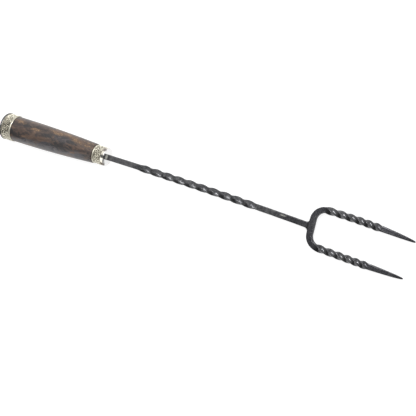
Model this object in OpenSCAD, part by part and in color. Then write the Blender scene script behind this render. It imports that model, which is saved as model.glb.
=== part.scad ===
// Hand-forged barbecue fork with a turned wooden handle and metal caps.
// X runs from the butt of the handle to the points, the tines lie in the XY plane and +Z is up.
// The origin is the centre of the butt plate's outer face. All sizes are in millimetres.

/* [Steel bar] */
// Side of the square bar
bar = 6; // [5:0.25:7.5]
// Radius of the bar's worn corners
bar_corner = 0.6; // [0.4:0.1:1.2]

/* [Shaft] */
// Length from the ferrule plate to the middle of the yoke
shaft_len = 243.6; // [180:0.1:320]
// Sideways bow of the hand-drawn shaft over its length, degrees
shaft_bow = 2.4; // [0:0.1:5]
// Plain length between the ferrule plate and the twist
shaft_plain_rear = 38.8; // [20:0.1:60]
// Plain length between the twist and the yoke
shaft_plain_front = 61; // [30:0.5:80]
// Quarter turns of the twist in the shaft
shaft_quarter_turns = 10; // [4:1:16]

/* [Tines] */
// Distance between the centre lines of the two tines
tine_gap = 39.2; // [34:0.1:60]
// Reach of the tines beyond the middle of the yoke
tine_reach = 104.2; // [85:0.1:140]
// Inward curve of each tine over its length, degrees
tine_curve = 0.9; // [0:0.1:4]
// Radius of the two bends on the centre line
bend_r = 12.1; // [9:0.1:14]
// Lean of the yoke away from square to the shaft, degrees
yoke_skew = 5.2; // [0:0.1:8]
// How far the shaft stands off the middle of the yoke
neck_offset = 1.2; // [0:0.1:1.8]
// Quarter turns of the twist in each tine
tine_quarter_turns = 6; // [2:1:10]
// How far the tine's twist runs back into the bend
twist_lead = 4; // [0:0.5:8]
// How much tighter the tine's twist gets towards the point, as a share of its pitch
twist_tighten = 0.2; // [0:0.05:0.5]
// Length of the drawn-out point of each tine
point_len = 36; // [25:0.5:50]
// Width of the blunt tip
tip_w = 0.8; // [0.5:0.1:2]

/* [Weld] */
// Weld metal between the end of the shaft and the yoke
weld_t = 1; // [0.8:0.1:1.6]
// Leg of the weld fillets on each side of the shaft
weld_leg = 3.8; // [2:0.1:4.2]

/* [Handle] */
// Length of wood that shows between the two caps
handle_len = 105.5; // [90:0.5:130]
// Largest diameter of the wood
handle_d = 28.3; // [27.5:0.1:30]
// Diameter of the wood where it meets the front shoulder
handle_front_d = 21.8; // [21.2:0.1:24]
// Distance of the thickest place from the rear cap
swell_at = 7; // [4:0.5:20]
// Radius of the front shoulder
shoulder_r = 1.2; // [0.5:0.1:1.5]
// Radius of the wood's rear edge
rear_edge_r = 0.5; // [0.3:0.1:0.7]

/* [Rear cap] */
// Length of the rear cap, plate included
cap_len = 14.7; // [13:0.1:20]
// Outside diameter of the cap's band
cap_d = 29; // [28.6:0.1:29.4]
// Wall of the cap's band
cap_wall = 0.85; // [0.6:0.05:1]
// Height of the butt's rim wire above the band
butt_rim_rise = 0.75; // [0.5:0.05:1.2]
// Height of the wood side's rim wire above the band
cap_rim_rise = 0.35; // [0.2:0.05:0.9]
// Width of the butt's rim wire where it sits on the band
butt_rim_w = 2.4; // [1.8:0.1:3]
// Width of the wood side's rim wire where it sits on the band
cap_rim_w = 1.8; // [1.4:0.1:2.4]
// Thickness of the butt plate
butt_plate_t = 1.2; // [0.8:0.1:1.6]
// Radius round the edge of the butt plate
butt_edge_r = 0.8; // [0.3:0.1:1]

/* [Front ferrule] */
// Length of the ferrule, plate included
ferrule_len = 15; // [12:0.1:18]
// Outside diameter of the ferrule's band
ferrule_d = 19.7; // [19:0.1:20]
// Wall of the ferrule's band
ferrule_wall = 0.8; // [0.6:0.05:1]
// Height of the rim wire above the band
ferrule_rim_rise = 0.55; // [0.3:0.05:0.8]
// Width of the rim wire where it sits on the band
ferrule_rim_w = 1.7; // [1.2:0.1:2.2]
// How far the front plate's polished edge stands out past the band
front_plate_lip = 0.35; // [0.2:0.05:0.6]
// Thickness of the front plate
front_plate_t = 3.8; // [2:0.1:5]
// Bevel round the front plate
front_plate_bevel = 0.4; // [0.1:0.1:0.6]

/* [Tang] */
// Diameter of the round tang
tang_d = 5; // [4.5:0.1:5.5]
// Length of square bar that is let into the ferrule
square_in_wood = 9; // [6:0.5:12]
// Diameter of the hole drilled for the tang
tang_hole_d = 8; // [7:0.1:9]
// Diameter of the washer
washer_d = 12; // [10:0.1:13]
// Thickness of the washer
washer_t = 1.2; // [0.8:0.1:1.6]
// Width of the nut across its flats
nut_af = 8; // [7.5:0.1:9]
// Thickness of the nut
nut_t = 4; // [3:0.1:4.5]
// Length of tang that stands out behind the nut
tang_end = 1; // [0.5:0.1:1.5]
// Room between the end of the tang and the butt plate
butt_room = 1; // [0.5:0.1:2]
// Side clearance of the washer in its counterbore
washer_room = 0.5; // [0.3:0.1:0.8]

/* [Fits] */
// Radial clearance of a band on its tenon, of the nut on the tang and of the washer
band_fit = 0.05; // [0.02:0.01:0.1]
// Clearance on each side of the bar in a square hole
square_fit = 0.1; // [0.05:0.05:0.2]
// End gap between the front tenon and the front plate
tenon_gap = 0.2; // [0.1:0.1:0.4]

/* [Hidden] */

// Fineness of the turned pieces, and of arcs within an outline
turned_fn = 96;
arc_steps = 6;
// Degrees of twist and millimetres of plain bar between two rings of a swept bar
ring_twist = 10;
ring_plain = 12;
// Degrees of bend between two rings
ring_bend = 7;
// Share of a twist's length in which it starts and dies away
twist_ease = 0.04;
point_steps = 10;
handle_steps = 16;
// How far a cut runs past the face that it opens
cut = 1;

steel = "#3b3a3c";
wood = "#4a3226";
alpaca = "#b9b39a";
polished = "#d9d9d6";
resin = "#7a6a48";

// Stations along the axis
wood_rear_x = cap_len;
wood_front_x = cap_len + handle_len;
front_face_x = wood_front_x + ferrule_len;
front_plate_x = front_face_x - front_plate_t;
bar_rear_x = front_face_x - front_plate_t - square_in_wood;
tang_end_x = butt_plate_t + butt_room;
nut_x = tang_end_x + tang_end;
washer_x = nut_x + nut_t;
bedding_x = washer_x + washer_t;

rear_tenon_r = cap_d / 2 - cap_wall - band_fit;
front_tenon_r = ferrule_d / 2 - ferrule_wall - band_fit;

// The pose [x, y, heading] after a stretch of path of the given length that turns by an angle
function walk(pose, length, turn) =
    turn == 0
        ? [pose[0] + length * cos(pose[2]), pose[1] + length * sin(pose[2]), pose[2]]
        : let (r = length / (turn * PI / 180), h = pose[2] + turn)
          [pose[0] + r * (sin(h) - sin(pose[2])), pose[1] - r * (cos(h) - cos(pose[2])), h];

// A value from 0 to 1 that starts and stops softly
function eased(u) =
    let (e = twist_ease, k = 1 / (1 - e))
    u <= 0 ? 0
    : u < e ? k * u * u / (2 * e)
    : u < 1 - e ? k * (u - e / 2)
    : u < 1 ? 1 - k * (1 - u) * (1 - u) / (2 * e)
    : 1;

// The square section with round corners, for a bar of side w
function section(w) =
    let (r = bar_corner * w / bar, c = w / 2 - r)
    [for (i = [0:3], t = [0:45:90])
        let (a = 90 * i + t)
        [c * sign(cos(90 * i + 45)) + r * cos(a), c * sign(sin(90 * i + 45)) + r * sin(a)]];

// One ring of points round a pose, for a bar of side w turned about its own axis
function ring(pose, w, turned) =
    [for (q = section(w))
        let (side = q[0] * cos(turned) - q[1] * sin(turned),
             up = q[0] * sin(turned) + q[1] * cos(turned))
        [pose[0] - side * sin(pose[2]), pose[1] + side * cos(pose[2]), up]];

// Evenly spaced values between two ends, no further apart than a step
function spread(from, to, step) =
    let (n = ceil(abs(to - from) / step))
    [for (i = [0:n - 1]) from + (to - from) * i / n];

// A solid through rings of equal length
module swept_bar(rings) {
    n = len(rings[0]);
    last = len(rings) - 1;
    points = [for (r = rings, p = r) p];
    sides = [for (i = [0:last - 1], j = [0:n - 1])
        let (a = i * n + j, b = i * n + (j + 1) % n)
        each [[a, a + n, b], [b, a + n, b + n]]];
    ends = [[for (j = [0:n - 1]) j], [for (j = [n - 1:-1:0]) last * n + j]];
    polyhedron(points = points, faces = concat(sides, ends), convexity = 10);
}

// Turns a profile of [x, r] points about the X axis
module turned(profile) {
    rotate([0, 90, 0])
        rotate_extrude($fn = turned_fn)
            polygon([for (p = profile) [p[1], p[0]]]);
}

module rod_x(x0, x1, d) {
    translate([x0, 0, 0])
        rotate([0, 90, 0])
            cylinder(h = x1 - x0, d = d, $fn = turned_fn);
}

// Points of a quarter round from angle a0 to a1 about a centre
function round_edge(centre, r, a0, a1) =
    [for (i = [0:arc_steps])
        let (a = a0 + (a1 - a0) * i / arc_steps)
        [centre[0] + r * cos(a), centre[1] + r * sin(a)]];

// Half-round wire of width w soldered round a band of diameter d
module rim_wire(x, d, rise, w) {
    r = (w * w / 4 + rise * rise) / (2 * rise);
    half = asin(w / 2 / r);
    turned(round_edge([x, d / 2 + rise - r], r, 90 - half, 90 + half));
}

// Shaft: plain, twisted and plain again, on one gentle arc
function shaft_pose(s) = walk([front_face_x, 0, 0], s, -shaft_bow * s / shaft_len);
shaft_end = shaft_len - bar / 2 - weld_t;
shaft_twist_end = shaft_len - shaft_plain_front;
shaft_stations = concat(
    spread(0, shaft_plain_rear, ring_plain),
    spread(shaft_plain_rear, shaft_twist_end,
        (shaft_twist_end - shaft_plain_rear) * ring_twist / (90 * shaft_quarter_turns)),
    spread(shaft_twist_end, shaft_end, ring_plain),
    [shaft_end]);

module shaft() {
    rear = [bar_rear_x, 0, 0];
    color(steel) {
        swept_bar(concat(
            [ring(rear, bar, 0)],
            [for (s = shaft_stations)
                ring(shaft_pose(s), bar, 90 * shaft_quarter_turns
                    * eased((s - shaft_plain_rear) / (shaft_twist_end - shaft_plain_rear)))]));
        rod_x(tang_end_x, bar_rear_x, tang_d);
    }
}

// Tine bar: one bar bent to a yoke with two tines, drawn round the head's own origin,
// which is where the shaft's axis meets the yoke's centre line
module at_head() {
    p = shaft_pose(shaft_len);
    translate([p[0], p[1], 0])
        rotate([0, 0, p[2]])
            children();
}

// Half of the yoke's centre line as [length, turn] for the yoke's arm, the bend and the tine
function half_path(side) =
    let (offset = tine_gap / 2 + side * neck_offset,
         start = 90 + side * yoke_skew,
         arm = (offset - bend_r * (1 - cos(start))) / sin(start),
         bend = bend_r * start * PI / 180,
         reached = arm * cos(start) + bend_r * sin(start),
         curve = tine_curve * PI / 180,
         tine = (tine_reach - reached) * (curve == 0 ? 1 : curve / sin(tine_curve)))
    [arm, bend, tine];

function half_length(side) =
    let (path = half_path(side))
    path[0] + path[1] + path[2];

// The pose at a distance from the yoke's middle, on the side of +Y
function half_pose(side, s) =
    let (path = half_path(side),
         start = 90 + side * yoke_skew,
         at_bend = walk([0, 0, start], min(s, path[0]), 0),
         in_bend = max(0, min(s - path[0], path[1])),
         at_tine = walk(at_bend, in_bend, -start * in_bend / path[1]),
         in_tine = max(0, s - path[0] - path[1]))
    walk(at_tine, in_tine, -tine_curve * in_tine / path[2]);

// Rings of one half, from the yoke's middle to the tip; side is 1 for the tine on +Y, -1 for the other
function half_rings(side) =
    let (path = half_path(side),
         whole = half_length(side),
         bend_end = path[0] + path[1],
         twist_start = bend_end - twist_lead,
         twist_end = whole - point_len,
         stations = concat(
             spread(0, path[0], ring_plain),
             spread(path[0], twist_start, path[1] * ring_bend / 90),
             spread(twist_start, twist_end,
                 (twist_end - twist_start) * ring_twist / (90 * tine_quarter_turns))))
    concat(
        [for (s = stations)
            half_ring(side, s, bar, (s - twist_start) / (twist_end - twist_start))],
        [for (i = [0:point_steps])
            let (left = 1 - i / point_steps)
            half_ring(side, whole - point_len * left * left, tip_w + (bar - tip_w) * left, 1)]);

// The right-hand half is mirrored and runs back towards the yoke, so both twists are right-handed
function half_ring(side, s, w, u) =
    let (p = half_pose(side, s),
         turned = 90 * tine_quarter_turns * eased(u + twist_tighten * u * (u - 1)))
    side > 0
        ? ring(p, w, turned)
        : ring([p[0], -p[1], 180 - p[2]], w, -turned);

module tine_bar() {
    left = half_rings(1);
    right = half_rings(-1);
    color(steel)
        at_head()
            swept_bar(concat(
                [for (i = [len(right) - 1:-1:1]) right[i]],
                left));
}

// Weld: fills the joint between the shaft's end and the yoke's back, with a fillet on each side
module neck_weld() {
    half = bar / 2;
    end_x = -half - weld_t;
    function back(y) = [-half / cos(yoke_skew) - y * tan(yoke_skew), y];
    function fillet(side) =
        let (from = [end_x - weld_leg, side * half],
             corner = back(side * half),
             to = back(side * (half + weld_leg)))
        [for (i = [0:arc_steps])
            let (t = i / arc_steps)
            (1 - t) * (1 - t) * from + 2 * t * (1 - t) * corner + t * t * to];
    lower = fillet(-1);
    color(steel)
        at_head()
            translate([0, 0, -half + bar_corner])
                linear_extrude(bar - 2 * bar_corner)
                    polygon(concat(
                        [[end_x, -half], [end_x, half]],
                        fillet(1),
                        [for (i = [arc_steps:-1:0]) lower[i]]));
}

// Handle: a swelling body between two tenons, bored for the tang
handle_swell_x = wood_rear_x + swell_at;
handle_shoulder_x = wood_front_x - shoulder_r;

function handle_r(x) =
    let (u = max(0, x - handle_swell_x) / (handle_shoulder_x - handle_swell_x))
    handle_d / 2 - (handle_d - handle_front_d) / 2 * u * u;

module handle() {
    body = [for (i = [0:handle_steps])
        let (x = handle_swell_x + (handle_shoulder_x - handle_swell_x) * i / handle_steps)
        [x, handle_r(x)]];
    rear_edge = round_edge([wood_rear_x + rear_edge_r, handle_d / 2 - rear_edge_r],
        rear_edge_r, 180, 90);
    shoulder = round_edge([handle_shoulder_x, handle_front_d / 2 - shoulder_r],
        shoulder_r, 90, 0);
    socket = bar + 2 * square_fit;
    color(wood)
        difference() {
            turned(concat(
                [[butt_plate_t, 0], [butt_plate_t, rear_tenon_r], [wood_rear_x, rear_tenon_r]],
                rear_edge,
                body,
                shoulder,
                [[wood_front_x, front_tenon_r],
                 [front_plate_x - tenon_gap, front_tenon_r],
                 [front_plate_x - tenon_gap, 0]]));
            rod_x(butt_plate_t - cut, bedding_x, washer_d + 2 * washer_room);
            rod_x(butt_plate_t, bar_rear_x, tang_hole_d);
            translate([bar_rear_x, -socket / 2, -socket / 2])
                cube([square_in_wood + cut, socket, socket]);
        }
}

// Rear cap: a band closed by a round-edged plate, with a rim wire at each end
module rear_band() {
    color(alpaca)
        difference() {
            rod_x(butt_plate_t, wood_rear_x, cap_d);
            rod_x(butt_plate_t - cut, wood_rear_x + cut, cap_d - 2 * cap_wall);
        }
}

module butt_plate() {
    color(polished)
        turned(concat(
            [[0, 0]],
            round_edge([butt_edge_r, cap_d / 2 - butt_edge_r], butt_edge_r, 180, 90),
            [[butt_plate_t, cap_d / 2], [butt_plate_t, 0]]));
}

module butt_rim() {
    color(polished)
        rim_wire(butt_edge_r + butt_rim_w / 2, cap_d, butt_rim_rise, butt_rim_w);
}

module rear_band_rim() {
    color(polished)
        rim_wire(wood_rear_x - cap_rim_w / 2, cap_d, cap_rim_rise, cap_rim_w);
}

// Front ferrule: a band closed by a thick polished plate that the bar comes through
module ferrule_band() {
    color(alpaca)
        difference() {
            rod_x(wood_front_x, front_plate_x, ferrule_d);
            rod_x(wood_front_x - cut, front_plate_x + cut, ferrule_d - 2 * ferrule_wall);
        }
}

module ferrule_rim() {
    color(polished)
        rim_wire(wood_front_x + ferrule_rim_w / 2, ferrule_d, ferrule_rim_rise, ferrule_rim_w);
}

module front_plate() {
    hole = bar + 2 * square_fit;
    edge_r = ferrule_d / 2 + front_plate_lip;
    color(polished)
        difference() {
            turned([
                [front_plate_x, 0], [front_plate_x, edge_r],
                [front_face_x - front_plate_bevel, edge_r],
                [front_face_x, edge_r - front_plate_bevel], [front_face_x, 0]]);
            translate([front_plate_x - cut, -hole / 2, -hole / 2])
                cube([front_plate_t + 2 * cut, hole, hole]);
        }
}

// Inside the handle: nut and washer draw the tang up, and resin fills the drilled hole
module tang_nut() {
    color(steel)
        difference() {
            translate([nut_x, 0, 0])
                rotate([0, 90, 0])
                    cylinder(h = nut_t, d = nut_af / cos(30), $fn = 6);
            rod_x(nut_x - cut, washer_x + cut, tang_d + 2 * band_fit);
        }
}

module tang_washer() {
    color(steel)
        difference() {
            rod_x(washer_x, bedding_x, washer_d);
            rod_x(washer_x - cut, bedding_x + cut, tang_d + 2 * band_fit);
        }
}

module tang_bedding() {
    color(resin)
        difference() {
            rod_x(bedding_x, bar_rear_x, tang_hole_d);
            rod_x(bedding_x - cut, bar_rear_x + cut, tang_d);
        }
}

shaft();
tine_bar();
neck_weld();
handle();
rear_band();
butt_plate();
butt_rim();
rear_band_rim();
ferrule_band();
ferrule_rim();
front_plate();
tang_nut();
tang_washer();
tang_bedding();
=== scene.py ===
import math

import bmesh
import bpy
from mathutils import Matrix, Vector, noise


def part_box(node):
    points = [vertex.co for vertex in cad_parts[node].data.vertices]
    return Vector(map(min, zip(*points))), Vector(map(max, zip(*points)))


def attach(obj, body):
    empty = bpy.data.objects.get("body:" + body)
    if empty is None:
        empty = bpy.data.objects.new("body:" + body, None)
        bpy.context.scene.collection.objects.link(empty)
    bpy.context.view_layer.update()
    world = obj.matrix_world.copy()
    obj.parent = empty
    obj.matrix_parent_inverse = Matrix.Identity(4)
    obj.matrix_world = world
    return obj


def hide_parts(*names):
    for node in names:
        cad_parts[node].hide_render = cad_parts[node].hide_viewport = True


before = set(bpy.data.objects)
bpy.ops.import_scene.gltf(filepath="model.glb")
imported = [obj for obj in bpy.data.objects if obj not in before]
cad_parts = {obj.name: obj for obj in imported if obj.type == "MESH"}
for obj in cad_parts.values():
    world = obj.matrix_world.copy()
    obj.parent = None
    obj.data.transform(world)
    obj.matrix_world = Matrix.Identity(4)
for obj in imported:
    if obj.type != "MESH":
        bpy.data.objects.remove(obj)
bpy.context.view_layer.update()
mm = 0.001
quarterTurn = math.pi / 2
fullTurn = 4 * quarterTurn
roundSteps = 160  # faces round every turned piece


# Shader kit: a socket that does sums, and a material that makes its own nodes
class Sock:
    def __init__(self, tree, socket):
        self.tree = tree
        self.socket = socket

    def math(self, operation, *values):
        node = self.tree.nodes.new("ShaderNodeMath")
        node.operation = operation
        for slot, value in zip(node.inputs, values):
            plug(self.tree, slot, value)
        return Sock(self.tree, node.outputs[0])

    def __add__(self, other):
        return self.math("ADD", self, other)

    def __radd__(self, other):
        return self.math("ADD", other, self)

    def __sub__(self, other):
        return self.math("SUBTRACT", self, other)

    def __rsub__(self, other):
        return self.math("SUBTRACT", other, self)

    def __mul__(self, other):
        return self.math("MULTIPLY", self, other)

    def __rmul__(self, other):
        return self.math("MULTIPLY", other, self)

    # 0 below the low value, 1 above the high one, smooth between
    def step(self, low, high):
        node = self.tree.nodes.new("ShaderNodeMapRange")
        node.interpolation_type = "SMOOTHSTEP"
        plug(self.tree, node.inputs[0], self)
        node.inputs[1].default_value = low
        node.inputs[2].default_value = high
        return Sock(self.tree, node.outputs[0])


def plug(tree, slot, value):
    if isinstance(value, Sock):
        tree.links.new(value.socket, slot)
    else:
        slot.default_value = value


class Finish:
    def __init__(self, name):
        self.material = bpy.data.materials.new(name)
        self.material.use_nodes = True
        self.tree = self.material.node_tree
        self.tree.nodes.clear()
        self.place = self.node("ShaderNodeTexCoord", out="Object")

    # Any node: its settings first, then the values or links of its sockets
    def node(self, kind, settings=None, sockets=None, out=0):
        made = self.tree.nodes.new(kind)
        for key, value in (settings or {}).items():
            if key == "stops":
                for extra in value[2:]:
                    made.color_ramp.elements.new(extra[0])
                for stop, (at, colour) in zip(made.color_ramp.elements, value):
                    stop.position = at
                    stop.color = (*colour, 1)
            else:
                setattr(made, key, value)
        for key, value in (sockets or {}).items():
            plug(self.tree, made.inputs[key], value)
        return Sock(self.tree, made.outputs[out])

    # Object coordinates, turned by degrees about Z and then stretched
    def scaled(self, x, y, z, aboutZ=0):
        turned = self.node("ShaderNodeMapping", sockets={
            "Vector": self.place, "Rotation": (0, 0, math.radians(aboutZ))})
        return self.node("ShaderNodeMapping", sockets={"Vector": turned, "Scale": (x, y, z)})

    # 1 inside a soft-edged spot with a ragged outline, 0 outside it; sizes in millimetres
    def spot(self, centre, radii, ragged=0, soft=0.5):
        away = self.node("ShaderNodeVectorMath", {"operation": "SUBTRACT"},
            {0: self.place, 1: [c * mm for c in centre]})
        share = self.node("ShaderNodeVectorMath", {"operation": "DIVIDE"},
            {0: away, 1: [r * mm for r in radii]})
        distance = self.node("ShaderNodeVectorMath", {"operation": "LENGTH"},
            {0: share}, out="Value")
        return (distance + ragged).step(1 + soft, 1 - soft)

    def noise(self, where, scale, detail=3, rough=0.5, distortion=0.0):
        return self.node("ShaderNodeTexNoise", sockets={
            "Vector": where, "Scale": scale, "Detail": detail,
            "Roughness": rough, "Distortion": distortion})

    def ramp(self, value, *stops):
        return self.node("ShaderNodeValToRGB", {"stops": stops}, {"Fac": value})

    # Each colour is a socket or (red, green, blue)
    def blend(self, share, *colours):
        first, second = (c if isinstance(c, Sock) else (*c, 1) for c in colours)
        return self.node("ShaderNodeMix", {"data_type": "RGBA"},
            {0: share, 6: first, 7: second}, out=2)

    def bump(self, height, depth, strength):
        return self.node("ShaderNodeBump", sockets={
            "Height": height, "Distance": depth, "Strength": strength})

    def surface(self, **sockets):
        named = {key.replace("_", " "): value for key, value in sockets.items()}
        shader = self.node("ShaderNodeBsdfPrincipled", sockets=named)
        end = self.tree.nodes.new("ShaderNodeOutputMaterial")
        self.tree.links.new(shader.socket, end.inputs["Surface"])
        return self.material


# Camera
viewpoint = {
    "place": (0.6784, 0.0548, 1.0387),
    "right": (0.88499, 0.27986, -0.37211),
    "up": (-0.28408, 0.95776, 0.04469),
    "lens": 92.42,
    "sensor": 36.0,
}


def makeCamera():
    right, up = Vector(viewpoint["right"]), Vector(viewpoint["up"])
    turn = Matrix((right, up, right.cross(up))).transposed().to_4x4()
    lens = bpy.data.cameras.new("view")
    lens.lens = viewpoint["lens"]
    lens.sensor_width = viewpoint["sensor"]
    camera = bpy.data.objects.new("view", lens)
    camera.matrix_world = Matrix.Translation(viewpoint["place"]) @ turn
    bpy.context.scene.collection.objects.link(camera)
    bpy.context.scene.camera = camera


makeCamera()
bpy.context.scene.view_settings.view_transform = "Standard"
print("camera set")


# Finishes. The steel's marks are (centre, radii) in mm, and its heated end begins between two x
forged = {
    "scale": ((0.34, (0.040, 0.041, 0.045)), (0.5, (0.083, 0.084, 0.089)),
        (0.66, (0.145, 0.144, 0.146))),
    "rubbed": (0.24, 0.24, 0.24),
    "handled": ((150, 0, 0), (22, 60, 60)),
    "handledColour": (0.19, 0.19, 0.195),
    "heated": (310 * mm, 370 * mm),
    "heatedColour": (0.028, 0.028, 0.033),
    "oiled": ((418, 0, 0), (28, 60, 60)),
    "bare": ((135.6, 0, 3), (0.85, 2.4, 1)),
    # A paler streak along the bar's -Y top corner near the neck
    "paleStreak": ((347.5, -3, 3), (3, 0.7, 1)),
    "bareColour": (0.62, 0.62, 0.56),
    "mirrored": (0.55, 0.55, 0.56),
    "dents": 0.05 * mm,
}


def forgedSteel():
    f = Finish("forged steel")
    wear = f.node("ShaderNodeAttribute", {"attribute_name": "wear"}, out="Fac")
    patches = f.noise(f.place, 160, 4, 0.6)
    grit = f.noise(f.place, 1500, 3, 0.6)
    strokes = f.noise(f.scaled(180, 900, 900), 1, 3, 0.6)
    blotches = f.noise(f.place, 420, 3, 0.6)
    scale = f.ramp(patches * 0.4 + blotches * 0.6, *forged["scale"])
    handled = f.spot(*forged["handled"], soft=0.2)
    scale = f.blend(handled * 0.25, scale, forged["handledColour"])
    along = f.node("ShaderNodeSeparateXYZ", sockets={"Vector": f.place}, out="X")
    heated = along.step(*forged["heated"])
    oiled = f.spot(*forged["oiled"], soft=0.12)
    scale = f.blend(heated * 0.7 - oiled * 0.4, scale, forged["heatedColour"])
    rubbed = wear.step(0.35, 1.0) * strokes.step(0.4, 0.7)
    colour = f.blend(rubbed * 0.25, scale, forged["rubbed"])
    ragged = strokes * 0.6 - 0.3
    bare = f.spot(*forged["bare"], ragged)
    paleStreak = f.spot(*forged["paleStreak"], ragged)
    rough = patches * 0.5 + grit * 0.15 + strokes * 0.35
    return f.surface(
        Base_Color=f.blend(bare * 0.85 + paleStreak * 0.4, colour, forged["bareColour"]),
        Metallic=0.9,
        Specular_Tint=(*forged["mirrored"], 1),
        Roughness=patches * 0.2 + 0.19 - heated * 0.06,
        Coat_Weight=oiled * 0.55,
        Coat_Roughness=0.15,
        Normal=f.bump(rough * (1 - heated * 0.7), forged["dents"], 0.6))


# The wood's marks are (x in mm, degrees from the top towards +Y, half length, half width). Its
# paints go on in this order, each as (marks, share, first colour, second colour).
figure = {
    "radius": 13,
    "grain": ((0.36, (0.012, 0.008, 0.008)), (0.45, (0.040, 0.026, 0.022)),
        (0.54, (0.088, 0.056, 0.041)), (0.66, (0.20, 0.115, 0.066))),
    "pore": (0.006, 0.004, 0.004),
    "paints": (
        ("brown", 0.55, (0.038, 0.020, 0.015), (0.165, 0.09, 0.052)),
        ("slate", 0.6, (0.026, 0.026, 0.032), (0.085, 0.079, 0.088)),
        # Painted sheen: a paler bluish grey on the lower flank, standing in for the floor mirrored at a
        # grazing angle
        ("paintedSheen", 0.75, (0.05, 0.05, 0.058), (0.15, 0.145, 0.16)),
        ("dark", 0.9, (0.009, 0.008, 0.010), (0.026, 0.020, 0.020)),
        ("tan", 0.8, (0.065, 0.034, 0.02), (0.42, 0.255, 0.13))),
    "tan": ((23.4, 46, 5, 2.2), (46, 26, 6, 1.4), (66, 52, 5, 1.4), (74, 45, 6, 1.8),
        (84, 58, 7, 2.2), (95, 48, 7, 2.4), (103, 36, 6, 2.2), (114, 30, 6, 2.2), (112, 52, 6, 2),
        (64, 168, 8, 2.5), (96, -110, 6, 2), (36, -95, 8, 2.2)),
    "brown": ((34, 2, 12, 5), (54, -15, 10, 5), (100, 1, 11, 5), (84, 68, 30, 4), (90, 130, 10, 5),
        (40, -125, 10, 5)),
    "dark": ((82, -18, 10, 4.5), (24, -27, 12, 3.6), (118, -35, 6, 4), (64, 12, 5, 2), (96, 18, 6, 1.6),
        (36, 30, 6, 1.5), (60, 110, 9, 4), (100, -150, 9, 4), (28, 160, 9, 4)),
    "slate": ((82, 23, 11, 5), (60, -80, 12, 5)),
    # Painted sheen marks, in a row along the lower flank
    "paintedSheen": ((34, -46, 17, 5), (66, -42, 17, 5.5), (99, -46, 16, 4.5)),
}


def figuredWood():
    f = Finish("figured wood")
    streaks = f.noise(f.scaled(42, 110, 110, aboutZ=-12), 1, 6, 0.65, 1.4)
    mottle = f.noise(f.scaled(150, 330, 330, aboutZ=20), 1, 5, 0.65, 0.8)
    pores = f.noise(f.scaled(260, 2600, 2600, aboutZ=-6), 1, 2, 0.5)
    flecks = f.noise(f.scaled(420, 1000, 1000, aboutZ=10), 1, 3, 0.6)
    ragged = (streaks + mottle * 2) * 2.6 - 3.9

    def marks(kind):
        total = 0
        for x, degrees, long, wide in figure[kind]:
            a = math.radians(degrees)
            centre = (x, figure["radius"] * math.sin(a), figure["radius"] * math.cos(a))
            total = total + f.spot(centre, (long, wide, wide), ragged)
        return total.step(0, 1)

    grain = streaks * 0.6 + mottle * 0.4
    colour = f.ramp(grain, *figure["grain"])
    lines = grain.step(0.4, 0.6)
    clouds = mottle.step(0.3, 0.7)
    speckle = mottle.step(0.36, 0.62) * 0.4 + flecks.step(0.4, 0.6) * 0.6
    pattern = {"brown": lines, "slate": lines, "paintedSheen": lines, "dark": clouds, "tan": speckle}
    for kind, share, first, second in figure["paints"]:
        paint = f.blend(pattern[kind], first, second)
        colour = f.blend(marks(kind) * share, colour, paint)
    return f.surface(
        Base_Color=f.blend(pores.step(0.62, 0.7) * 0.5, colour, figure["pore"]),
        Roughness=mottle * 0.2 + 0.34,
        Coat_Weight=0.35,
        Coat_Roughness=0.3,
        Normal=f.bump(pores, 0.05 * mm, 0.5))


# Distance from the handle's axis, in millimetres
def axisDistance(f):
    square = f.node("ShaderNodeVectorMath", {"operation": "MULTIPLY"},
        {0: f.place, 1: (0, 1 / mm, 1 / mm)})
    return f.node("ShaderNodeVectorMath", {"operation": "LENGTH"}, {0: square}, out="Value")


# Dark in the ground and bright on what is raised; both are painted lighter from the caps' top round to
# their flanks, which is painted light
embossed = {
    "dark": ((0.05, 0.046, 0.036), (0.50, 0.465, 0.375)),
    "bright": ((0.68, 0.635, 0.51), (0.95, 0.92, 0.80)),
}


def embossedMetal(name, ground):
    f = Finish(name)
    high = (axisDistance(f) - ground).step(0.0, 0.2)
    grime = f.noise(f.place, 600, 3, 0.6)
    scratches = f.noise(f.scaled(900, 2500, 2500), 1, 2)
    handled = f.noise(f.place, 130, 2)
    across = f.node("ShaderNodeSeparateXYZ", sockets={"Vector": f.place}, out="Y")
    turned = across * (1 / (ground * mm))
    # Painted light: lighter towards the flanks, darker on the top
    paintedFlankLight = (turned * turned).step(0.03, 0.5)
    flankLightAndWear = paintedFlankLight * 0.5 + handled.step(0.4, 0.6) * 0.35 + grime * 0.15
    dark = f.blend(flankLightAndWear, *embossed["dark"])
    bright = f.blend(paintedFlankLight * 0.6 + grime * 0.4, *embossed["bright"])
    return f.surface(
        Base_Color=f.blend(high, dark, bright),
        Metallic=0.85,
        Roughness=0.5 - high * 0.22 + grime * 0.1,
        Normal=f.bump(scratches, 0.02 * mm, 0.4))


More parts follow.
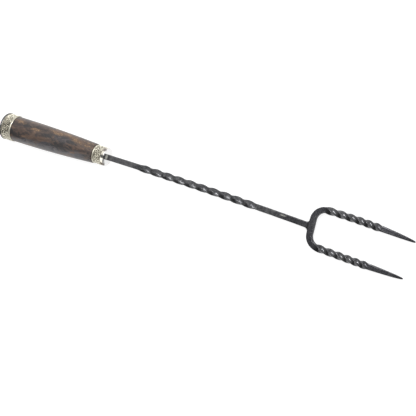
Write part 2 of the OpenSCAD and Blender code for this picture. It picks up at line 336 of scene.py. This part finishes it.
# Marks are (centre, radii, share, colour): stains, and painted shade and painted reflections; what is
# mirrored at a slant gets its own tint
polished = {
    "soldered rim": {"roughness": 0.26, "dull": (0.56, 0.525, 0.43), "clean": (0.72, 0.69, 0.59),
        # The butt wire's rounded rear edge gets painted shade, a dark band
        "stainsAndPaintedShade": (((0, 0, 0), (3.2, 60, 60), 0.95, (0.05, 0.05, 0.06)),),
        "mirrored": (0.4, 0.4, 0.4)},
    "darkened butt": {"roughness": 0.2, "dull": (0.10, 0.10, 0.11), "clean": (0.20, 0.20, 0.22),
        "stainsAndPaintedShade": (), "mirrored": (0.4, 0.4, 0.4)},
    "mirror plate": {"roughness": 0.04, "dull": (0.76, 0.76, 0.76), "clean": (0.88, 0.88, 0.89),
        "stainsAndPaintedShade": (
            ((132.6, 0, 0), (2.2, 40, 40), 0.75, (0.66, 0.61, 0.50)),
            ((132.8, 7.5, 6.9), (2.2, 2.5, 2.5), 0.85, (0.20, 0.17, 0.17)),
            # Painted reflection: the shaft mirrored dark in the plate's edge above the square hole
            ((133.4, -0.4, 10.2), (3.0, 1.8, 2), 0.9, (0.09, 0.09, 0.09)),
            # Painted reflection: a thin dark line on the plate's front edge below the shaft
            ((135.1, -5.2, 8.6), (0.7, 4, 3), 0.8, (0.12, 0.12, 0.11)),
            # Painted reflection: a dark brown wedge on the plate's lower edge
            ((132.9, -8.8, 5.0), (3.4, 3.3, 3.3), 0.95, (0.08, 0.058, 0.036))),
        "mirrored": (1, 1, 1)},
}


def polishedMetal(name):
    metal = polished[name]
    f = Finish(name)
    tarnish = f.noise(f.place, 220, 4, 0.6)
    scratches = f.noise(f.scaled(600, 3000, 3000), 1, 2)
    rings = f.node("ShaderNodeTexNoise", {"noise_dimensions": "1D"},
        {"W": axisDistance(f), "Scale": 6.0, "Detail": 2.0})
    colour = f.blend(tarnish.step(0.35, 0.75), metal["clean"], metal["dull"])
    for centre, radii, share, paint in metal["stainsAndPaintedShade"]:
        spot = f.spot(centre, radii, tarnish - 0.5, 0.35)
        colour = f.blend(spot * share, colour, paint)
    return f.surface(
        Base_Color=colour,
        Metallic=1.0,
        Specular_Tint=(*metal["mirrored"], 1),
        Roughness=tarnish * 0.12 + metal["roughness"],
        Normal=f.bump(scratches * 0.6 + rings * 0.4, 0.012 * mm, 0.3))


def plainSteel():
    f = Finish("plain steel")
    turned = f.noise(f.scaled(3000, 300, 300), 1, 2)
    colour = f.blend(turned, (0.42, 0.42, 0.43), (0.56, 0.56, 0.56))
    return f.surface(Base_Color=colour, Metallic=1.0, Roughness=turned * 0.2 + 0.25,
        Normal=f.bump(turned, 0.02 * mm, 0.4))


def setResin():
    f = Finish("set resin")
    cloud = f.noise(f.place, 300, 3)
    colour = f.blend(cloud, (0.28, 0.20, 0.09), (0.42, 0.32, 0.17))
    return f.surface(Base_Color=colour, Roughness=cloud * 0.2 + 0.2,
        Normal=f.bump(cloud, 0.05 * mm, 0.3))


steel = forgedSteel()
wood = figuredWood()
rimMetal = polishedMetal("soldered rim")
buttMetal = polishedMetal("darkened butt")
mirror = polishedMetal("mirror plate")
print("finishes made")


# Edges bent by more than the sharp angle, in degrees, stay crisp
def addPiece(name, bm, material, node, sharp=40):
    mesh = bpy.data.meshes.new(name)
    bm.to_mesh(mesh)
    bm.free()
    mesh.materials.append(material)
    mesh.shade_smooth()
    mesh.set_sharp_from_angle(angle=math.radians(sharp))
    piece = bpy.data.objects.new(name, mesh)
    bpy.context.scene.collection.objects.link(piece)
    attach(piece, "root")
    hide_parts(node)


# Drags an outline of edges through a list of places and closes the far end
def sweep(bm, outline, places):
    ring = outline
    verts = list({v for e in ring for v in e.verts})
    bmesh.ops.transform(bm, matrix=places[0], verts=verts)
    for before, after in zip(places, places[1:]):
        made = bmesh.ops.extrude_edge_only(bm, edges=ring)["geom"]
        verts = [g for g in made if isinstance(g, bmesh.types.BMVert)]
        fresh = set(verts)
        ring = [g for g in made if isinstance(g, bmesh.types.BMEdge)
            and g.verts[0] in fresh and g.verts[1] in fresh]
        bmesh.ops.transform(bm, matrix=after @ before.inverted(), verts=verts)
    bmesh.ops.contextual_create(bm, geom=ring)


# Turns a profile of (x, r) points about the X axis; a closed profile makes a ring
def spun(bm, profile, closed=True):
    line = [bm.verts.new((x, 0, r)) for x, r in profile]
    pairs = list(zip(line, line[1:])) + ([(line[-1], line[0])] if closed else [])
    edges = [bm.edges.new(pair) for pair in pairs]
    bmesh.ops.spin(bm, geom=line + edges, cent=(0, 0, 0), axis=(1, 0, 0),
        angle=fullTurn, steps=roundSteps, use_merge=True)
    bmesh.ops.remove_doubles(bm, verts=bm.verts[:], dist=0.001 * mm)
    bmesh.ops.recalc_face_normals(bm, faces=bm.faces[:])


def arc(centreX, centreR, radius, start, end, steps):
    angles = [math.radians(start + (end - start) * i / steps) for i in range(steps + 1)]
    return [(centreX + radius * math.cos(a), centreR + radius * math.sin(a)) for a in angles]


# One stretch of a path in the plane of the fork, as (x, y, heading): straight, or an even bend
def walk(pose, length, turn):
    x, y, h = pose
    if abs(turn) < 1e-9:
        return x + length * math.cos(h), y + length * math.sin(h), h
    r = length / turn
    end = h + turn
    return x + r * (math.sin(end) - math.sin(h)), y - r * (math.cos(end) - math.cos(h)), end


# From 0 to 1 at a steady rate, with a short soft start and end
def eased(u, e=0.04):
    k = 1 / (1 - e)
    if u <= 0:
        return 0
    if u < e:
        return k * u * u / (2 * e)
    if u < 1 - e:
        return k * (u - e / 2)
    if u < 1:
        return 1 - k * (1 - u) ** 2 / (2 * e)
    return 1


def placeOf(pose, twist, size=1.0):
    x, y, h = pose
    return (Matrix.Translation((x, y, 0)) @ Matrix.Rotation(h, 4, "Z")
        @ Matrix.Rotation(twist, 4, "X") @ Matrix.Diagonal((1, size, size, 1)))


# Square bar, forged: round corners, hammered faces and rubbed edges
bar = {
    "side": 6.0 * mm,
    "corner": 0.5 * mm,
    "cornerSteps": 4,
    "faceCuts": 6,
    "wearReach": 0.33,
    "ringGap": 0.8 * mm,
    "broadDent": 7.0 * mm,
    "broadDepth": 0.06 * mm,
    "smallDent": 2.4 * mm,
    "smallDepth": 0.04 * mm,
}


# The wear attribute is 0 at the middle of a face and about 1 on a corner
def barOutline(bm):
    turn = Matrix.Rotation(quarterTurn, 4, "Y")
    bmesh.ops.create_grid(bm, x_segments=1, y_segments=1, size=bar["side"] / 2, matrix=turn)
    bmesh.ops.bevel(bm, geom=bm.verts[:], offset=bar["corner"], affect="VERTICES",
        segments=bar["cornerSteps"], profile=0.5, material=-1)
    straight = [e for e in bm.edges if e.calc_length() > 2 * bar["corner"]]
    bmesh.ops.subdivide_edges(bm, edges=straight, cuts=bar["faceCuts"])
    wear = bm.verts.layers.float.new("wear")
    half = bar["side"] / 2
    for v in bm.verts:
        v[wear] = (v.co.length - half) / (bar["wearReach"] * half)
    return bm.edges[:]


def stationsTo(start, end, gap):
    n = max(1, math.ceil((end - start) / gap))
    return [start + (end - start) * i / n for i in range(n)]


# Hammer dents and swells, small enough that the bar keeps its size
def hammered(bm, visibleFrom, share=1.0):
    bm.normal_update()
    for v in bm.verts:
        if v.co.x > visibleFrom:
            broad = noise.noise(v.co / bar["broadDent"])
            small = noise.noise(v.co / bar["smallDent"])
            v.co -= v.normal * share * (bar["broadDepth"] * broad + bar["smallDepth"] * small)


# Shaft
shaft = {
    "start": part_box("front_plate")[1].x,
    "length": 243.6 * mm,
    "bow": math.radians(2.4),
    "plainRear": 38.8 * mm,
    "plainFront": 61.0 * mm,
    "quarterTurns": 10,
    "weld": 1.0 * mm,
    "squareInWood": 12.8 * mm,
    "tang": 5.0 * mm,
    "tangSides": 48,
    "dentsFrom": 0.5 * mm,
}


def shaftPose(s):
    return walk((shaft["start"], 0, 0), s, -shaft["bow"] * s / shaft["length"])


def makeShaft():
    bm = bmesh.new()
    outline = barOutline(bm)
    end = shaft["length"] - bar["side"] / 2 - shaft["weld"]
    twistEnd = shaft["length"] - shaft["plainFront"]
    rear = -shaft["squareInWood"]
    stations = stationsTo(rear, end, bar["ringGap"]) + [end]
    places = []
    for s in stations:
        u = (s - shaft["plainRear"]) / (twistEnd - shaft["plainRear"])
        pose = shaftPose(s) if s > 0 else (shaft["start"] + s, 0, 0)
        places.append(placeOf(pose, shaft["quarterTurns"] * quarterTurn * eased(u)))
    sweep(bm, outline, places)
    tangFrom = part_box("shaft")[0].x
    tangTo = shaft["start"] + rear
    middle = Matrix.Translation(((tangFrom + tangTo) / 2, 0, 0)) @ Matrix.Rotation(quarterTurn, 4, "Y")
    bmesh.ops.create_cone(bm, cap_ends=True, segments=shaft["tangSides"], radius1=shaft["tang"] / 2,
        radius2=shaft["tang"] / 2, depth=tangTo - tangFrom, matrix=middle)
    bmesh.ops.recalc_face_normals(bm, faces=bm.faces[:])
    hammered(bm, shaft["start"] + shaft["dentsFrom"])
    addPiece("forged_shaft", bm, steel, "shaft")


# Yoke and tines, in the head's own frame. The tine on the +Y side leaves the bend splayed
# outwards and curls back in. The twist tightens from the bend to the plain tip.
head = {
    "gap": 39.2 * mm,
    "reach": 104.2 * mm,
    "curve": math.radians(0.9),
    "bend": 12.1 * mm,
    "skew": math.radians(5.2),
    "neckOffset": 1.2 * mm,
    "quarterTurns": 6,
    "twistLead": 4.0 * mm,
    "tighten": 0.2,
    "plainTip": 36.0 * mm,
    "point": 36.0 * mm,
    "tip": 0.8 * mm,
    "tipRound": 0.5 * mm,
    "tipDrawn": 0.8,
    "fineEnd": 2.0 * mm,
    "fineGap": 0.1 * mm,
    "splay": math.radians(2.5),
    "dents": 0.5,
}


# One half of the head: its first heading, its splay, and the lengths of arm, bend and tine
def halfPath(side):
    offset = head["gap"] / 2 + side * head["neckOffset"]
    start = quarterTurn + side * head["skew"]
    splay = head["splay"] if side > 0 else 0
    arm = (offset - head["bend"] * (math.cos(splay) - math.cos(start))) / math.sin(start)
    reached = arm * math.cos(start) + head["bend"] * (math.sin(start) - math.sin(splay))
    half = head["curve"] / 2 + splay
    tine = (head["reach"] - reached) * half / math.sin(half) / math.cos(head["curve"] / 2)
    return start, splay, arm, head["bend"] * (start - splay), tine


def halfPose(side, s):
    start, splay, arm, bend, tine = halfPath(side)
    pose = walk((0, 0, start), min(s, arm), 0)
    inBend = max(0, min(s - arm, bend))
    pose = walk(pose, inBend, (splay - start) * inBend / bend)
    inTine = max(0, s - arm - bend)
    return walk(pose, inTine, -(head["curve"] + 2 * splay) * inTine / tine)


# Places of the section from the yoke's middle out to one tip
def halfPlaces(side):
    arm, bend, tine = halfPath(side)[2:]
    whole = arm + bend + tine
    twistStart = arm + bend - head["twistLead"]
    twistEnd = whole - head["plainTip"]
    fine = whole - head["fineEnd"]
    stations = stationsTo(0, fine, bar["ringGap"]) + stationsTo(fine, whole, head["fineGap"]) + [whole]
    places = []
    for s in stations:
        u = (s - twistStart) / (twistEnd - twistStart)
        twist = head["quarterTurns"] * quarterTurn * eased(u + head["tighten"] * u * (u - 1))
        left = max(0, whole - s)
        width = bar["side"]
        if left < head["point"]:
            width = head["tip"] + (bar["side"] - head["tip"]) * math.sqrt(left / head["point"])
        if left < head["tipRound"]:
            width *= math.sqrt(1 - head["tipDrawn"] * (1 - left / head["tipRound"]) ** 2)
        x, y, h = halfPose(side, s)
        if side > 0:
            places.append(placeOf((x, y, h), twist, width / bar["side"]))
        else:
            places.append(placeOf((x, -y, math.pi - h), -twist, width / bar["side"]))
    return places


def makeTines():
    bm = bmesh.new()
    outline = barOutline(bm)
    there = placeOf(shaftPose(shaft["length"]), 0)
    right, left = halfPlaces(-1), halfPlaces(1)
    sweep(bm, outline, [there @ p for p in right[:0:-1] + left])
    bmesh.ops.recalc_face_normals(bm, faces=bm.faces[:])
    hammered(bm, shaft["start"], head["dents"])
    addPiece("forged_tines", bm, steel, "tine_bar")


makeShaft()
makeTines()
print("forged bars made")


# Weld at the neck: concave fillets on both sides of the shaft. Its layers are (height, share of
# the leg), so that it draws in towards top and bottom.
weld = {
    "leg": 3.8 * mm,
    "height": 5.6 * mm,
    "steps": 10,
    "layers": ((-1.0, 0.72), (-0.93, 0.86), (-0.75, 0.96), (0.0, 1.0), (0.75, 0.96), (0.93, 0.86),
        (1.0, 0.72)),
}


# The yoke's back face, which leans by the skew
def yokeBack(y):
    half = bar["side"] / 2
    return Vector((-half / math.cos(head["skew"]) - y * math.tan(head["skew"]), y, 0))


def weldOutline(leg):
    half = bar["side"] / 2
    endX = -half - shaft["weld"]
    steps = [i / weld["steps"] for i in range(weld["steps"] + 1)]
    outline = []
    for side in (1, -1):
        start = Vector((endX - leg, side * half, 0))
        corner, end = yokeBack(side * half), yokeBack(side * (half + leg))
        curve = [start * (1 - t) ** 2 + corner * 2 * t * (1 - t) + end * t * t for t in steps]
        outline += curve if side > 0 else curve[::-1]
    return outline + [Vector((endX, -half, 0)), Vector((endX, half, 0))]


def makeWeld():
    bm = bmesh.new()
    loops = []
    for level, draw in weld["layers"]:
        lift = Vector((0, 0, level * weld["height"] / 2))
        verts = [bm.verts.new(p + lift) for p in weldOutline(weld["leg"] * draw)]
        loops.append([bm.edges.new(pair) for pair in zip(verts, verts[1:] + verts[:1])])
    for lower, upper in zip(loops, loops[1:]):
        bmesh.ops.bridge_loops(bm, edges=lower + upper)
    for rim in (loops[0], loops[-1]):
        bmesh.ops.contextual_create(bm, geom=rim)
    bmesh.ops.recalc_face_normals(bm, faces=bm.faces[:])
    bmesh.ops.transform(bm, matrix=placeOf(shaftPose(shaft["length"]), 0), verts=bm.verts[:])
    addPiece("weld_fillets", bm, steel, "neck_weld", sharp=60)


makeWeld()
print("weld made")


# Handle: turned wood with a tenon under each cap
handle = {
    "rearX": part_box("rear_band")[1].x,
    "frontX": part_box("ferrule_band")[0].x,
    "thick": 28.3 * mm,
    "front": 21.8 * mm,
    "swellAt": 7.0 * mm,
    "shoulder": 1.2 * mm,
    "rearEdge": 0.5 * mm,
    "bore": 8.0 * mm,
    "rearTenon": 13.6 * mm,
    "frontTenon": 9.0 * mm,
    "bodySteps": 40,
    "edgeSteps": 5,
    "shoulderSteps": 8,
}


def makeHandle():
    bm = bmesh.new()
    thick, front = handle["thick"] / 2, handle["front"] / 2
    swell = handle["rearX"] + handle["swellAt"]
    shoulderX = handle["frontX"] - handle["shoulder"]
    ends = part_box("handle")
    profile = [(ends[0].x, handle["bore"] / 2), (ends[0].x, handle["rearTenon"]),
        (handle["rearX"], handle["rearTenon"])]
    profile += arc(handle["rearX"] + handle["rearEdge"], thick - handle["rearEdge"],
        handle["rearEdge"], 180, 90, handle["edgeSteps"])
    for i in range(handle["bodySteps"] + 1):
        x = swell + (shoulderX - swell) * i / handle["bodySteps"]
        u = i / handle["bodySteps"]
        profile.append((x, thick - (thick - front) * u * u))
    profile += arc(shoulderX, front - handle["shoulder"], handle["shoulder"], 90, 0,
        handle["shoulderSteps"])[1:]
    profile += [(handle["frontX"], handle["frontTenon"]), (ends[1].x, handle["frontTenon"]),
        (ends[1].x, handle["bore"] / 2)]
    spun(bm, profile)
    addPiece("turned_handle", bm, wood, "handle", sharp=35)


makeHandle()
print("handle made")


# Caps: embossed bands, with scrolls, sprigs, buds and pearls raised from the ground
rearCap = {
    "name": "embossed_rear_band",
    "node": "rear_band",
    "from": 3.2 * mm,
    "to": 12.9 * mm,
    "radius": 14.5 * mm,
    "wall": 0.85 * mm,
    "repeats": 12,
    "height": 0.5 * mm,
    "pearls": 84,
}
frontCap = {
    "name": "embossed_ferrule",
    "node": "ferrule_band",
    "from": 121.9 * mm,
    "to": 131.4 * mm,
    "radius": 9.85 * mm,
    "wall": 0.8 * mm,
    "repeats": 8,
    "height": 0.4 * mm,
    "pearls": 56,
}
relief = {
    "stemWidth": 0.85 * mm,
    "stemSides": 8,
    "stemSteps": 24,
    "taper": 0.3,
    "thinRise": 0.45,
    "curlTurns": 1.3,
    "curl": 1.75 * mm,
    "unroll": 6,
    "eye": 0.5,
    "pearl": 0.42 * mm,
    "pearlGap": 0.25 * mm,
    "pearlRise": 0.8,
    "sprig": 0.95 * mm,
    "sprigRow": 0.55,
    "leaves": ((-0.75, 0.8), (0, 1.1), (0.75, 0.8)),
    "leaf": (0.85, 0.38, 0.85),
    "heart": 0.4,
    "bud": (0.42 * mm, 1.1 * mm),
    "budAt": 0.75,
    "budRise": 0.9,
    "budLean": -0.5,
}


# A boss, petal or leaf: a ball pressed flat and turned on the ground
def boss(bm, u, v, length, width, height, heading=0.0):
    place = (Matrix.Translation((u, v, 0)) @ Matrix.Rotation(heading, 4, "Z")
        @ Matrix.Diagonal((length, width, height, 1)))
    bmesh.ops.create_icosphere(bm, subdivisions=1, radius=1, matrix=place)


# A stem: a half-round wire along a path of (u, v, heading, width)
def stem(bm, path, height):
    turn = Matrix.Rotation(quarterTurn, 4, "Y")
    made = bmesh.ops.create_circle(bm, cap_ends=True, segments=relief["stemSides"], radius=0.5,
        matrix=turn)
    outline = list({e for v in made["verts"] for e in v.link_edges})
    places = []
    for u, v, heading, width in path:
        rise = relief["thinRise"] + (1 - relief["thinRise"]) * width / relief["stemWidth"]
        places.append(Matrix.Translation((u, v, 0)) @ Matrix.Rotation(heading, 4, "Z")
            @ Matrix.Diagonal((1, width, 2 * height * rise, 1)))
    sweep(bm, outline, places)


# One curl, from the point halfway to its neighbour inwards to its open eye
def curlPath(u, v, reach, start):
    path = []
    for i in range(relief["stemSteps"] + 1):
        t = i / relief["stemSteps"]
        a = start + t * relief["curlTurns"] * fullTurn
        inner = relief["curl"] * (1 - (1 - relief["eye"]) * t)
        r = inner + (reach - relief["curl"]) * (1 - t) ** relief["unroll"]
        width = relief["stemWidth"] * (1 - relief["taper"] * t)
        path.append((u + r * math.cos(a), v + r * math.sin(a), a + quarterTurn, width))
    return path


# A sprig that opens along the heading: leaves as (turn, reach) round a heart
def sprig(bm, u, v, heading, tall):
    size = relief["sprig"]
    long, wide, rise = relief["leaf"]
    for turn, reach in relief["leaves"]:
        a = heading + turn
        r = size * reach
        boss(bm, u + r * math.cos(a), v + r * math.sin(a), long * r, wide * size, rise * tall, a)
    boss(bm, u, v, relief["heart"] * size, relief["heart"] * size, tall)


# One repeat of the pattern is two curls, two sprigs and a bud, between two rows of pearls
def ornament(bm, cap):
    pitch = fullTurn * cap["radius"] / cap["repeats"]
    pearl = relief["pearl"]
    edge = (cap["to"] - cap["from"]) / 2
    row = edge - 2 * pearl - relief["curl"] - relief["pearlGap"]
    leafRow = row * relief["sprigRow"]
    reach = math.hypot(pitch / 4, row)
    slope = math.atan2(row, pitch / 4)
    tall = cap["height"]
    for k in range(cap["repeats"]):
        u = k * pitch
        stem(bm, curlPath(u, row, reach, -slope), tall)
        stem(bm, curlPath(u + pitch / 2, -row, reach, math.pi - slope), tall)
        sprig(bm, u + pitch / 2, leafRow, quarterTurn, tall)
        sprig(bm, u, -leafRow, -quarterTurn, tall)
        at = u + relief["budAt"] * pitch
        boss(bm, at, 0, *relief["bud"], relief["budRise"] * tall, relief["budLean"])
    for k in range(cap["pearls"]):
        u = fullTurn * cap["radius"] * k / cap["pearls"]
        for side in (-1, 1):
            boss(bm, u, side * (edge - pearl), pearl, pearl, relief["pearlRise"] * tall)


def makeBand(cap):
    bm = bmesh.new()
    ornament(bm, cap)
    middle = (cap["from"] + cap["to"]) / 2
    for v in bm.verts:
        angle = v.co.x / cap["radius"]
        r = cap["radius"] + v.co.z
        v.co = (middle + v.co.y, -r * math.sin(angle), r * math.cos(angle))
    low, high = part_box(cap["node"])
    inner = cap["radius"] - cap["wall"]
    wall = bmesh.new()
    spun(wall, [(low.x, inner), (low.x, cap["radius"]), (high.x, cap["radius"]), (high.x, inner)])
    sheet = bpy.data.meshes.new("wall")
    wall.to_mesh(sheet)
    wall.free()
    bm.from_mesh(sheet)
    bpy.data.meshes.remove(sheet)
    metal = embossedMetal(cap["name"] + " metal", cap["radius"] / mm)
    addPiece(cap["name"], bm, metal, cap["node"], sharp=50)


makeBand(rearCap)
makeBand(frontCap)
print("embossed bands made")


# Rims: half-round wire soldered round the bands, each as (name, node, cap, rise)
rims = {
    "wires": (
        ("butt_wire", "butt_rim", rearCap, 0.75 * mm),
        ("rear_wire", "rear_band_rim", rearCap, 0.35 * mm),
        ("ferrule_wire", "ferrule_rim", frontCap, 0.55 * mm)),
    "arcSteps": 12,
}


def makeRim(name, node, cap, rise):
    low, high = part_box(node)
    width = high.x - low.x
    r = (width * width / 4 + rise * rise) / (2 * rise)
    half = math.degrees(math.asin(width / 2 / r))
    centre = cap["radius"] + rise - r
    bm = bmesh.new()
    spun(bm, arc((low.x + high.x) / 2, centre, r, 90 - half, 90 + half, rims["arcSteps"]))
    addPiece(name, bm, rimMetal, node, sharp=60)


for wire in rims["wires"]:
    makeRim(*wire)
print("rims made")


# Plates: the butt's, and the thick front plate with its square hole
plates = {
    "buttEdge": 0.8 * mm,
    "buttRadius": rearCap["radius"],
    "frontRadius": 10.2 * mm,
    "frontBevel": 0.4 * mm,
    "hole": 6.2 * mm,
    "edgeSteps": 8,
}


def makeButtPlate():
    low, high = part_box("butt_plate")
    edge, outer = plates["buttEdge"], plates["buttRadius"]
    bm = bmesh.new()
    spun(bm, [(low.x, 0)] + arc(low.x + edge, outer - edge, edge, 180, 90, plates["edgeSteps"])
        + [(high.x, outer), (high.x, 0)], closed=False)
    addPiece("butt_disc", bm, buttMetal, "butt_plate")


# Loops of a circle from the hole's front over the rounded edge to the hole's back
def makeFrontPlate():
    low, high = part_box("front_plate")
    bevel, outer, hole = plates["frontBevel"], plates["frontRadius"], plates["hole"] / 2
    stations = [(high.x, None)] + arc(high.x - bevel, outer - bevel, bevel, 0, 90, plates["edgeSteps"])
    stations += [(low.x, outer), (low.x, None)]
    turn = Matrix.Rotation(quarterTurn, 4, "Y")
    bm = bmesh.new()
    loops = []
    for x, r in stations:
        made = bmesh.ops.create_circle(bm, segments=roundSteps, radius=r or hole,
            matrix=Matrix.Translation((x, 0, 0)) @ turn)
        if r is None:
            for v in made["verts"]:
                grow = hole / max(abs(v.co.y), abs(v.co.z))
                v.co.y, v.co.z = v.co.y * grow, v.co.z * grow
        loops.append(list({e for v in made["verts"] for e in v.link_edges}))
    for before, after in zip(loops, loops[1:] + loops[:1]):
        bmesh.ops.bridge_loops(bm, edges=before + after)
    bmesh.ops.recalc_face_normals(bm, faces=bm.faces[:])
    addPiece("front_disc", bm, mirror, "front_plate")


makeButtPlate()
makeFrontPlate()
print("plates made")


# The hidden pieces keep their CAD solids and get their finish here
hiddenFinish = {
    "tang_nut": plainSteel(),
    "tang_washer": plainSteel(),
    "tang_bedding": setResin(),
}
for nodeName, finish in hiddenFinish.items():
    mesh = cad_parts[nodeName].data
    mesh.materials.clear()
    mesh.materials.append(finish)
print("hidden pieces finished")


# Stage: a pale floor under the rear rim and the tines, and soft light
studio = {
    "floorSize": 6.0,
    "floorNoise": 40,
    "floorColours": ((0.86, 0.86, 0.86), (0.84, 0.84, 0.84)),
    "floorGlow": 0.6,
    "glowStrength": 1.4,
    "brightSide": (-0.15, 0.85, 0.5),
    "brightRange": (-0.5, 0.9),
    "worldLight": 0.6,
    "dimSide": 0.15,
    "lamps": {  # (place, target, two sides in metres, watts)
        "top box": ((0.15, 0.95, 0.95), (0.24, 0, 0), 1.4, 0.8, 1.4),
        "key box": ((0.25, 0.45, 1.0), (0.25, 0, 0), 0.08, 0.9, 5.5),
        "ring card": ((0.018, -0.185, 0.12), (0.133, 0, 0), 0.09, 0.26, 0.1),
    },
}


# Three switches: seen directly, in a reflection, and through glass
def rays(tree):
    path = tree.nodes.new("ShaderNodeLightPath")
    names = ("Is Camera Ray", "Is Glossy Ray", "Is Transmission Ray")
    return [Sock(tree, path.outputs[n]) for n in names]


def makeFloor():
    rim = min((v.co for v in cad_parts["rear_band_rim"].data.vertices), key=lambda c: c.z)
    slope = min((v.co.z - rim.z) / (v.co.x - rim.x)
        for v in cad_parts["tine_bar"].data.vertices)
    bm = bmesh.new()
    place = Matrix.Translation(rim) @ Matrix.Rotation(-math.atan(slope), 4, "Y")
    bmesh.ops.create_grid(bm, x_segments=1, y_segments=1, size=studio["floorSize"] / 2, matrix=place)
    mesh = bpy.data.meshes.new("floor")
    bm.to_mesh(mesh)
    bm.free()
    floor = bpy.data.objects.new("floor", mesh)
    bpy.context.scene.collection.objects.link(floor)
    f = Finish("floor")
    colour = f.blend(f.noise(f.place, studio["floorNoise"]), *studio["floorColours"])
    pale = f.node("ShaderNodeBsdfPrincipled", sockets={"Base Color": colour, "Roughness": 0.8})
    glow = f.node("ShaderNodeEmission", sockets={"Color": (1, 1, 1, 1), "Strength": studio["glowStrength"]})
    camera, glossy, through = rays(f.tree)
    seen = camera.math("MAXIMUM", camera.math("MAXIMUM", camera, glossy), through)
    mixed = f.node("ShaderNodeMixShader", sockets={
        0: seen * studio["floorGlow"], 1: pale, 2: glow})
    end = f.tree.nodes.new("ShaderNodeOutputMaterial")
    f.tree.links.new(mixed.socket, end.inputs["Surface"])
    mesh.materials.append(f.material)


# White where it is seen, and in reflections bright above and on the +Y side and dim opposite
def makeWorld():
    world = bpy.data.worlds.new("studio")
    bpy.context.scene.world = world
    world.use_nodes = True
    tree = world.node_tree
    tree.nodes.clear()
    camera, glossy, through = rays(tree)
    coords = tree.nodes.new("ShaderNodeTexCoord")
    facing = tree.nodes.new("ShaderNodeVectorMath")
    facing.operation = "DOT_PRODUCT"
    tree.links.new(coords.outputs["Generated"], facing.inputs[0])
    facing.inputs[1].default_value = studio["brightSide"]
    side = Sock(tree, facing.outputs["Value"]).step(*studio["brightRange"])
    level = side * (1 - studio["dimSide"]) + studio["dimSide"]
    strength = glossy * level + (1 - glossy) * studio["worldLight"]
    white = camera.math("MAXIMUM", camera, through)
    sky = tree.nodes.new("ShaderNodeBackground")
    sky.inputs["Color"].default_value = (1, 1, 1, 1)
    plug(tree, sky.inputs["Strength"], strength.math("MAXIMUM", strength, white))
    end = tree.nodes.new("ShaderNodeOutputWorld")
    tree.links.new(sky.outputs[0], end.inputs["Surface"])


def softBox(name, place, target, sizeX, sizeY, power):
    lamp = bpy.data.lights.new(name, "AREA")
    lamp.shape = "RECTANGLE"
    lamp.size, lamp.size_y = sizeX, sizeY
    lamp.energy = power
    box = bpy.data.objects.new(name, lamp)
    aim = (Vector(target) - Vector(place)).to_track_quat("-Z", "Y")
    box.matrix_world = Matrix.Translation(place) @ aim.to_matrix().to_4x4()
    bpy.context.scene.collection.objects.link(box)
    return box


makeFloor()
makeWorld()
lamps = {name: softBox(name, *values) for name, values in studio["lamps"].items()}
# The card is only seen mirrored in the polished plate's edge
lamps["ring card"].visible_camera = False
lamps["ring card"].visible_diffuse = False
print("stage set")
